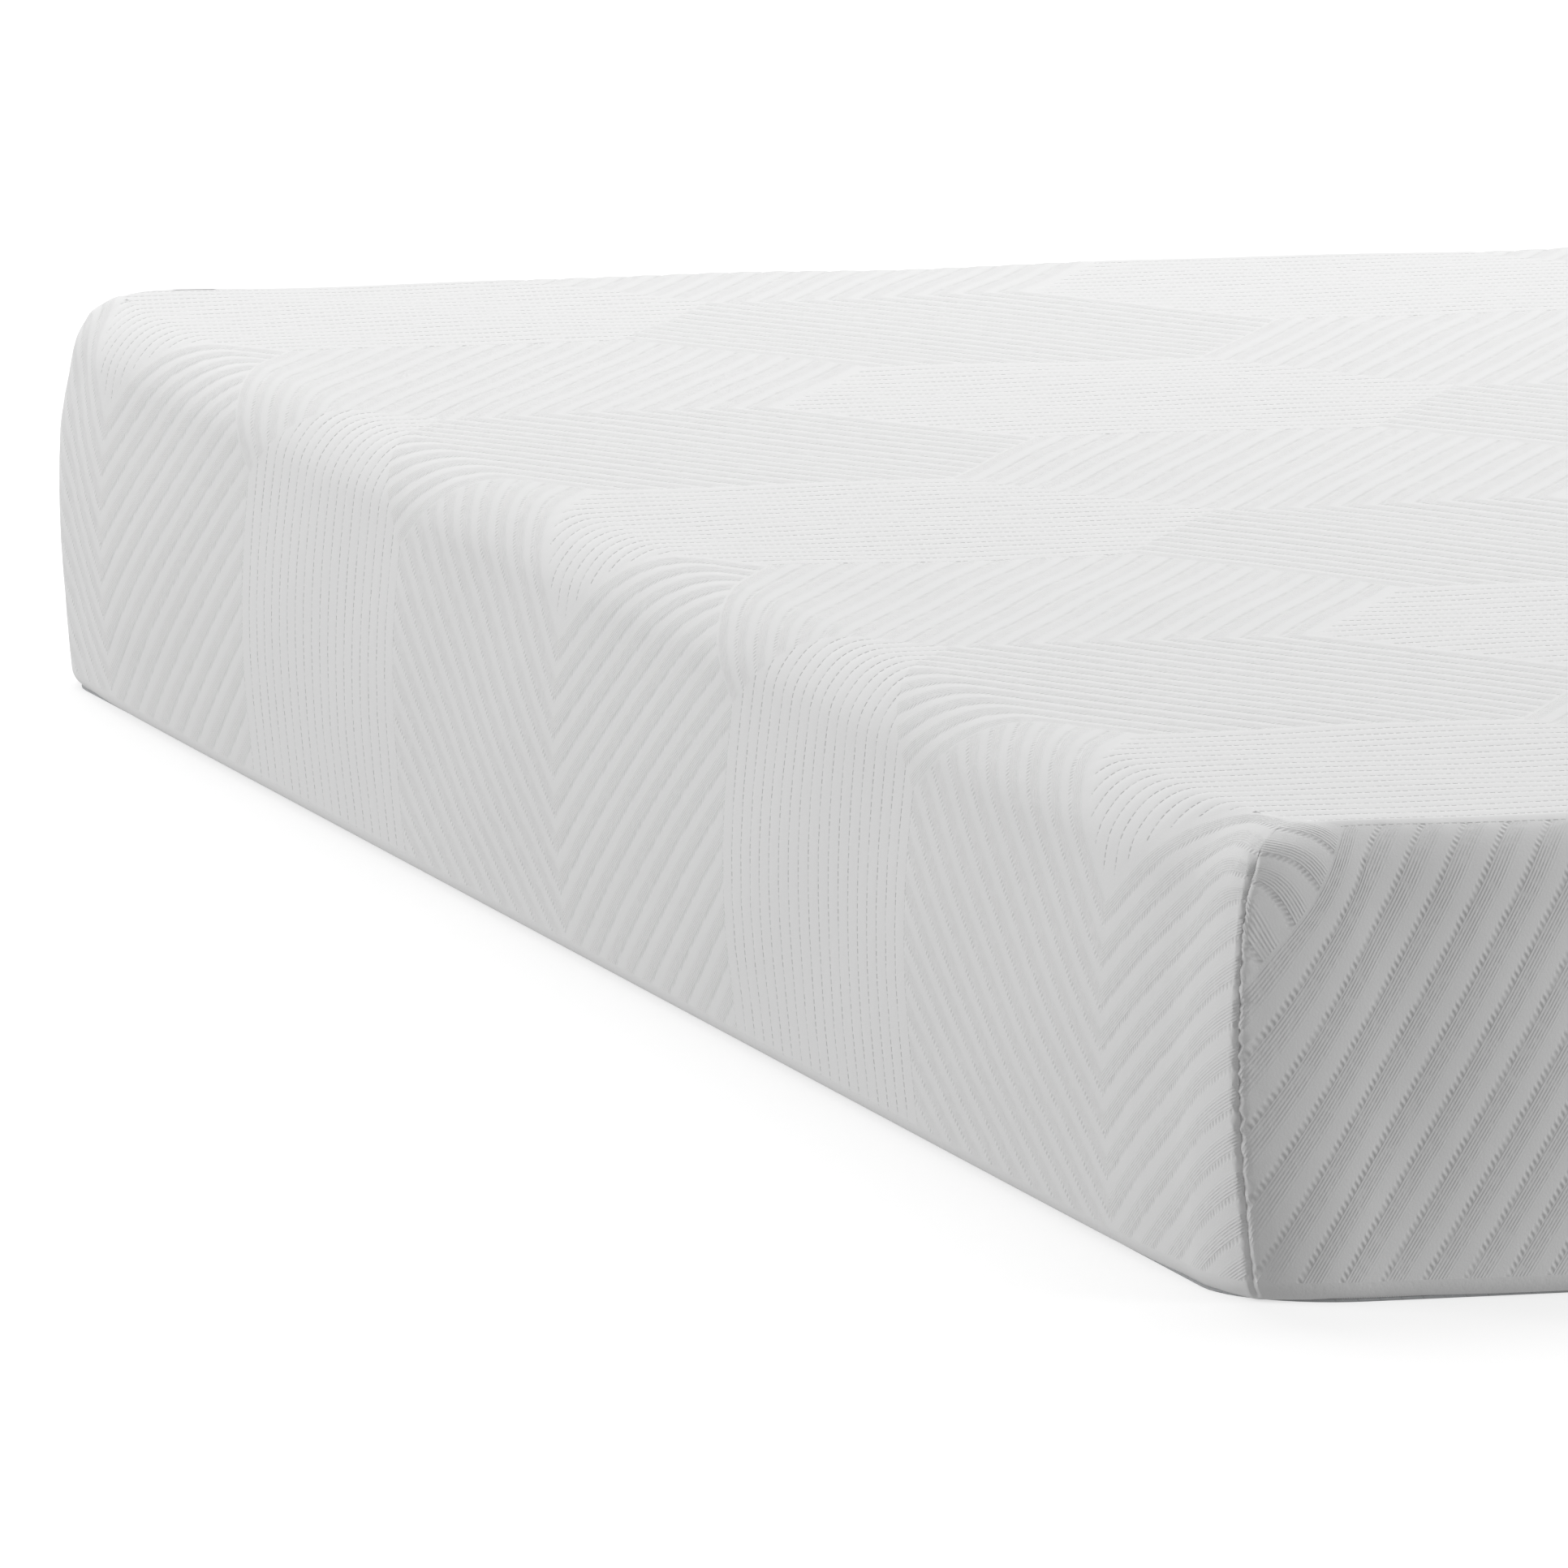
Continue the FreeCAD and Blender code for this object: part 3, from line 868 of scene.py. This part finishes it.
def outline(half_x, half_y, radius, step=30 * MM, arc_steps=12):
    """A rounded rectangle, anticlockwise from the right wall's middle, evenly divided.

    The number of points depends only on the step and the arc steps.
    """
    points = []
    for turn, signs in enumerate(((1, 1), (-1, 1), (-1, -1), (1, -1))):
        centre = np.array(signs) * (half_x - radius, half_y - radius)
        for angle in np.linspace(turn * math.pi / 2, (turn + 1) * math.pi / 2, arc_steps + 1):
            points.append(centre + radius * np.array((math.cos(angle), math.sin(angle))))
        start = points[-1]
        axis = turn % 2
        end = start.copy()
        end[axis] = -centre[axis]
        count = 2 * math.ceil((HALF_X, HALF_Y)[axis] / step)
        for share in np.arange(1, count) / count:
            points.append(start + (end - start) * share)
    return np.array(points)


def path_lengths(points):
    """The distance along a closed path at each of its points, and back at the first."""
    steps = np.linalg.norm(np.diff(points, axis=0, append=points[:1]), axis=1)
    return np.concatenate([[0.0], np.cumsum(steps)])


def skin(name, sections, cap_first=True):
    """Skins a rounded rectangle through (half_x, half_y, radius, level) sections, and caps it.

    The UV layer "Cloth" is the distance along the outline and along the section.
    """
    loops = []
    for half_x, half_y, radius, level in sections:
        loop = outline(half_x, half_y, radius)
        loops.append(np.column_stack([loop, np.full(len(loop), level)]))
    count = len(loops[0])
    last = (len(loops) - 1) * count
    faces = []
    for low in range(0, last, count):
        for i in range(count):
            j = (i + 1) % count
            faces.append((low + i, low + j, low + count + j, low + count + i))
    walls = len(faces)
    if cap_first:
        faces.append(tuple(range(count - 1, -1, -1)))
    faces.append(tuple(range(last, last + count)))
    mesh = bpy.data.meshes.new(name)
    mesh.from_pydata(np.concatenate(loops).tolist(), [], faces)
    around = path_lengths(loops[0])
    up = [0.0]
    for low, high in zip(loops, loops[1:]):
        up.append(up[-1] + float(np.linalg.norm(high[0] - low[0])))
    layer = mesh.uv_layers.new(name="Cloth")
    for face in mesh.polygons:
        if face.index < walls:
            row, i = divmod(face.index, count)
            for corner, (i_on, row_on) in zip(face.loop_indices, ((0, 0), (1, 0), (1, 1), (0, 1))):
                layer.data[corner].uv = (around[i + i_on], up[row + row_on])
        else:
            for corner in face.loop_indices:
                layer.data[corner].uv = mesh.vertices[mesh.loops[corner].vertex_index].co.xy
    mesh.shade_smooth()
    return mesh


def arc_rows(half_x, half_y, radius, level, rim, start, end, steps):
    """Sections round a rim whose outermost and top (or bottom) lines are at half_x and level."""
    rows = []
    for angle in np.linspace(start, end, steps + 1):
        inward = rim * (1 - math.cos(angle))
        rise = rim * math.sin(angle)
        rows.append((half_x - inward, half_y - inward, radius - inward, level + rise))
    return rows


def foam_block(node, material, rim_top=CUT_RIM, steps=3):
    """A foam layer with its cut edges softened and its walls a little hollow."""
    (_, _, low), (half_x, half_y, high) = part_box(node)
    plan = (half_x, half_y, CORNER_RADIUS)
    rows = arc_rows(*plan, low + CUT_RIM, CUT_RIM, -math.pi / 2, 0, 3)
    for share in (0.2, 0.4, 0.6, 0.8):
        level = low + CUT_RIM + share * (high - low - CUT_RIM - rim_top)
        rows.append((half_x - FOAM_HOLLOW, half_y - FOAM_HOLLOW, CORNER_RADIUS, level))
    rows += arc_rows(*plan, high - rim_top, rim_top, 0, math.pi / 2, steps)
    piece = new_object(node + "_block", skin(node + "_block", rows), material, "foam_base")
    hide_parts(node)


def base_cloth(material):
    """The cloth under the foam, with a rolled edge."""
    (_, _, low), (half_x, half_y, high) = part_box("base_cloth")
    rim = (high - low) / 2
    plan = (half_x, half_y, BASE_CLOTH_RADIUS)
    rows = arc_rows(*plan, low + rim, rim, -math.pi / 2, math.pi / 2, 6)
    piece = new_object("base_cloth_sheet", skin("base_cloth_sheet", rows), material, "foam_base")
    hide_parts("base_cloth")
    return piece


def swell_walls(mesh):
    """Moves a skin's walls out as the knit's are."""
    places = vertex_places(mesh)
    signs = np.sign(places[:, :2])
    past = np.abs(places[:, :2]) - (CORNER_X, CORNER_Y)
    out = np.maximum(past, 0)
    reach = np.maximum(np.hypot(*out.T), MM)
    turn = np.arctan2(out.min(axis=1), np.maximum(out.max(axis=1), MM))
    swell = bulge(places[:, 2], np.maximum(-past.min(axis=1), 0))
    swell = swell + corner_push(places[:, 2], turn, swell, signs)
    swell = swell * smooth_step(reach, 30 * MM, CORNER_RADIUS - 6 * MM)
    places[:, :2] += signs * out * (swell / reach)[:, None]
    mesh.vertices.foreach_set("co", places.reshape(-1))


def walls_and_rim(inset):
    """Sections up the walls and over the top edge, at an inset behind the cover's envelope."""
    half_x, half_y = HALF_X - inset, HALF_Y - inset
    radius = CORNER_RADIUS - inset
    rim = TOP_EDGE_RADIUS - inset
    levels = np.linspace(QUILT_BOTTOM, TOP - TOP_EDGE_RADIUS, 9)[:-1]
    rows = [(half_x, half_y, radius, level) for level in levels]
    return rows + arc_rows(half_x, half_y, radius, TOP - inset - rim, rim, 0, math.pi / 2, 7)


def quilt_wadding(material):
    """The fibre between the knit and the lining: it is what makes the walls stand out."""
    outside = skin("wadding_fill", walls_and_rim(WADDING_OUTER), cap_first=False)
    swell_walls(outside)
    sew_corners(outside, 3.0)
    inside = skin("wadding_inside", walls_and_rim(LINING_OUTER_INSET), cap_first=False)
    piece = new_object("wadding_fill", two_sided(outside, inside), material, "cover")
    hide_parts("quilt_wadding")


def two_sided(outside, inside):
    """Joins an outer skin and an inner one, turned over, along their first sections."""
    bm = bmesh.new()
    bm.from_mesh(inside)
    bmesh.ops.reverse_faces(bm, faces=bm.faces[:])
    bm.from_mesh(outside)
    rims = [edge for edge in bm.edges if edge.is_boundary]
    bmesh.ops.bridge_loops(bm, edges=rims)
    bmesh.ops.recalc_face_normals(bm, faces=bm.faces[:])
    bm.to_mesh(outside)
    bm.free()
    bpy.data.meshes.remove(inside)
    outside.shade_smooth()
    return outside


def quilt_lining(material):
    """The thin cloth on the foam side of the quilt."""
    skins = []
    for inset in (LINING_OUTER_INSET, LINING_INNER_INSET):
        skins.append(skin("quilt_lining_sheet", walls_and_rim(inset), cap_first=False))
    piece = new_object("quilt_lining_sheet", two_sided(*skins), material, "cover")
    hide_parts("quilt_lining")
    return piece


def in_gap(place, gap):
    """Whether a place on the zip's line lies in a gap in the right wall."""
    return gap is not None and place[0] > CORNER_X and gap[0] < place[1] < gap[1]


def zip_path(step):
    """Evenly spaced places along the zip's line, with the directions ahead and outward at each."""
    half_x, half_y = HALF_X - ZIP_INSET, HALF_Y - ZIP_INSET
    corners = outline(half_x, half_y, ZIP_CORNER_RADIUS, step=5 * MM, arc_steps=36)
    around = path_lengths(corners)
    count = round(around[-1] / step)
    at = np.arange(count) * around[-1] / count
    closed = np.vstack([corners, corners[:1]])
    places = np.column_stack([np.interp(at, around, closed[:, axis]) for axis in (0, 1)])
    ahead = np.roll(places, -1, axis=0) - np.roll(places, 1, axis=0)
    ahead /= np.linalg.norm(ahead, axis=1)[:, None]
    outward = np.column_stack([ahead[:, 1], -ahead[:, 0]])
    return places, ahead, outward


def strip_piece(node, places, layers, faces, material, body):
    """A piece from places with their UV, standing for a CAD node."""
    mesh = bpy.data.meshes.new(node + "_band")
    mesh.from_pydata(places, [], faces)
    layer = mesh.uv_layers.new(name="Cloth")
    for loop in mesh.loops:
        layer.data[loop.index].uv = layers[loop.vertex_index]
    clean = bmesh.new()
    clean.from_mesh(mesh)
    loose = [vert for vert in clean.verts if not vert.link_faces]
    bmesh.ops.delete(clean, geom=loose, context="VERTS")
    bmesh.ops.recalc_face_normals(clean, faces=clean.faces[:])
    clean.to_mesh(mesh)
    clean.free()
    mesh.shade_smooth()
    piece = new_object(node + "_band", mesh, material, body)
    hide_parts(node)
    return piece


def zip_tape(node, material, body, gap):
    """A woven band on edge, with a corded edge, that follows the walls round."""
    low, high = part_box(node)
    cord_below = node.startswith("upper")
    section = []
    for share in (0.0, 0.12, 0.24, 0.5, 0.76, 0.88, 1.0):
        half = TAPE_HALF
        if share < 0.2 if cord_below else share > 0.8:
            half *= 0.7 + 0.3 * math.sin(share * 20)
        section.append((half, low[2] + share * (high[2] - low[2])))
    ring = section + [(-half, level) for half, level in section[::-1]]
    path, _, outward = zip_path(TAPE_STEP)
    places, layers = [], []
    for i in range(len(path)):
        for offset, level in ring:
            places.append((*(path[i] + outward[i] * offset), level))
            layers.append((i * TAPE_STEP, level))
    count = len(ring)
    faces = []
    for i in range(len(path)):
        j = (i + 1) % len(path)
        if in_gap(path[i], gap) or in_gap(path[j], gap):
            continue
        for k in range(count):
            m = (k + 1) % count
            faces.append((i * count + k, j * count + k, j * count + m, i * count + m))
    return strip_piece(node, places, layers, faces, material, body)


def tube_faces(order, first, rows):
    """The sides and both ends of a closed tube whose rows of vertices follow one another."""
    count = len(order)
    faces = []
    for low in range(first, first + (rows - 1) * count, count):
        for k in range(count):
            a, b = order[k], order[(k + 1) % count]
            faces.append((low + a, low + b, low + count + b, low + count + a))
    faces.append(tuple(first + k for k in order[::-1]))
    faces.append(tuple(first + (rows - 1) * count + k for k in order))
    return faces


def zip_coil(node, material, body, gap):
    """Small upright coils, side by side along the zip's line."""
    low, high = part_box(node)
    path, ahead, outward = zip_path(COIL_PITCH)
    half_turn = math.pi / COIL_SIDES
    deep = (high[0] - (HALF_X - ZIP_INSET)) / math.cos(half_turn)
    wide = COIL_HALF / math.cos(half_turn)
    turns = np.linspace(0, 2 * math.pi, COIL_SIDES, endpoint=False) + half_turn
    rings = ((low[2], 0.7), (low[2] + COIL_RIM, 1.0), (high[2] - COIL_RIM, 1.0), (high[2], 0.7))
    places, layers, faces = [], [], []
    for i in range(len(path)):
        ends = (path[i] + (0, COIL_HALF), path[i] - (0, COIL_HALF))
        if any(in_gap(end, gap) for end in ends):
            continue
        faces += tube_faces(range(COIL_SIDES), len(places), len(rings))
        for level, scale in rings:
            for turn in turns:
                out = outward[i] * deep * math.cos(turn) * scale
                on = ahead[i] * wide * math.sin(turn) * scale
                places.append((*(path[i] + out + on), level))
                layers.append((i * COIL_PITCH, level))
    strip_piece(node, places, layers, faces, material, body)


def care_label(material):
    """A blank sewn-on label that lies along the head wall's swell."""
    low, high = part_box("care_label")
    wide, tall = high[0] - low[0], high[2] - low[2]
    columns, rows = 10, 15
    places, layers = [], []
    for side in (1, 0):
        for row in range(rows + 1):
            level = low[2] + tall * row / rows
            stand = HALF_Y + bulge(np.array([level]), np.array([1.0]))[0] + LABEL_LIFT
            for column in range(columns + 1):
                x = low[0] + wide * column / columns
                ripple = 0.35 * MM * math.sin(row * 1.1) * math.sin(column * 0.9)
                places.append((x, stand + ripple + side * LABEL_THICKNESS, level))
                layers.append((x, level))
    across = columns + 1
    count = across * (rows + 1)
    faces = []
    for row in range(rows):
        for column in range(columns):
            a = row * across + column
            b = a + across
            faces.append((a + 1, a, b, b + 1))
            faces.append((count + a, count + a + 1, count + b + 1, count + b))
    rim = list(range(across))
    rim += range(rim[-1] + across, count, across)
    rim += range(count - 2, count - across - 1, -1)
    rim += range(count - 2 * across, 0, -across)
    for a, b in zip(rim, rim[1:] + rim[:1]):
        faces.append((a, b, count + b, count + a))
    piece = strip_piece("care_label", places, layers, faces, material, "cover")


def corner_seams(material):
    """The four seam allowances inside the corners, bound with overlock thread."""
    low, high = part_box("corner_seams")
    inner = CORNER_RADIUS - LINING_INNER_INSET
    steps = 84
    places, layers, faces = [], [], []
    for sign_x, sign_y in CORNERS:
        faces += tube_faces([0, 2, 4, 6, 7, 5, 3, 1], len(places), steps + 1)
        out = np.array([sign_x, sign_y]) / math.sqrt(2)
        beside = np.array([-out[1], out[0]])
        centre = np.array([sign_x * CORNER_X, sign_y * CORNER_Y])
        for step in range(steps + 1):
            level = low[2] + (high[2] - low[2]) * step / steps
            plump = BINDING_WAIST if step % 2 else 1.0
            for deep, wide in BINDING:
                for turn in (1, -1):
                    point = centre + out * (inner + deep) + beside * wide * plump * turn
                    places.append((*point, level))
                    layers.append((level, deep * turn))
    strip_piece("corner_seams", places, layers, faces, material, "cover")


def painted(node, material):
    """Gives a CAD node that is right as it is its finish."""
    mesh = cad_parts[node].data
    mesh.materials.clear()
    mesh.materials.append(material)


# ---- camera, floor and light


def place_camera():
    camera = linked("camera", bpy.data.cameras.new("camera"))
    camera.data.lens = CAMERA_LENS
    camera.data.sensor_width = 36.0
    camera.data.clip_end = 100.0
    camera.location = CAMERA_PLACE
    camera.rotation_euler = (math.pi / 2 - CAMERA_ELEVATION, 0, CAMERA_AZIMUTH)
    bpy.context.scene.camera = camera


def studio_lamp(name, place, size, power):
    """A round soft light that faces the mattress."""
    light = bpy.data.lights.new(name, "AREA")
    light.shape = "DISK"
    light.size = size
    light.energy = power
    lamp = linked(name, light)
    lamp.location = place
    lamp.rotation_euler = Vector(place).to_track_quat("Z", "Y").to_euler()


def set_light():
    """A high soft key from behind, a soft lamp for each wall in view, and light from all round."""
    world = bpy.data.worlds.new("studio")
    bpy.context.scene.world = world
    world.use_nodes = True
    backdrop = world.node_tree.nodes["Background"]
    backdrop.inputs["Color"].default_value = (1, 1, 1, 1)
    backdrop.inputs["Strength"].default_value = SKY
    for name, (place, size, power) in LAMPS.items():
        studio_lamp(name, place, size, power)
    bpy.context.scene.view_settings.view_transform = "Standard"


def lay_floor():
    """A pale floor, wider than the view. It glows, so it isn't let light the walls from below."""
    mesh = bpy.data.meshes.new("floor")
    corners = [(-60, -60, 0), (60, -60, 0), (60, 60, 0), (-60, 60, 0)]
    mesh.from_pydata(corners, [], [(0, 1, 2, 3)])
    floor = linked("floor", mesh)
    floor.visible_diffuse = False
    finish = Finish("floor", (FLOOR_TONE,) * 3, 0.9)
    finish.shade(finish.noise(3.0), 0.985)
    finish.surface.inputs["Emission Color"].default_value = (1, 1, 1, 1)
    finish.surface.inputs["Emission Strength"].default_value = FLOOR_GLOW
    mesh.materials.append(finish.material)


place_camera()
set_light()
lay_floor()

knit_cover(knit_finish())
quilt_wadding(fibre_finish("wadding", (0.78, 0.78, 0.77)))
lining = quilt_lining(woven_finish("lining", (0.72, 0.72, 0.71), 0.6 * MM))
corner_seams(thread_finish("seam_thread", (0.70, 0.70, 0.69)))
care_label(woven_finish("label_cloth", (0.76, 0.76, 0.75), 0.35 * MM))

foam_block("support_foam", foam_finish("support_foam", (0.66, 0.66, 0.63), 900))
foam_block("comfort_foam", foam_finish("comfort_foam", (0.55, 0.60, 0.64), 1100))
foam_block("memory_foam", foam_finish("memory_foam", (0.74, 0.73, 0.69), 1300), MEMORY_RIM, 8)
base = base_cloth(woven_finish("base_cloth", (0.45, 0.46, 0.47), 0.5 * MM, dots=9 * MM))

tape_material = woven_finish("zip_tape", (0.70, 0.70, 0.70), 0.5 * MM)
coil_material = nylon_finish("zip_coil", (0.68, 0.68, 0.68))
lower_tape = zip_tape("lower_zip_tape", tape_material, "foam_base", None)
upper_tape = zip_tape("upper_zip_tape", tape_material, "cover", UPPER_GAP)
zip_coil("lower_zip_coil", coil_material, "foam_base", LOWER_GAP)
zip_coil("upper_zip_coil", coil_material, "cover", UPPER_GAP)
for name in ("lower_zip_stops", "upper_zip_stops"):
    painted(name, coil_material)
for name in ("zip_slider", "pull_tab"):
    painted(name, metal_finish(name, (0.62, 0.62, 0.63)))
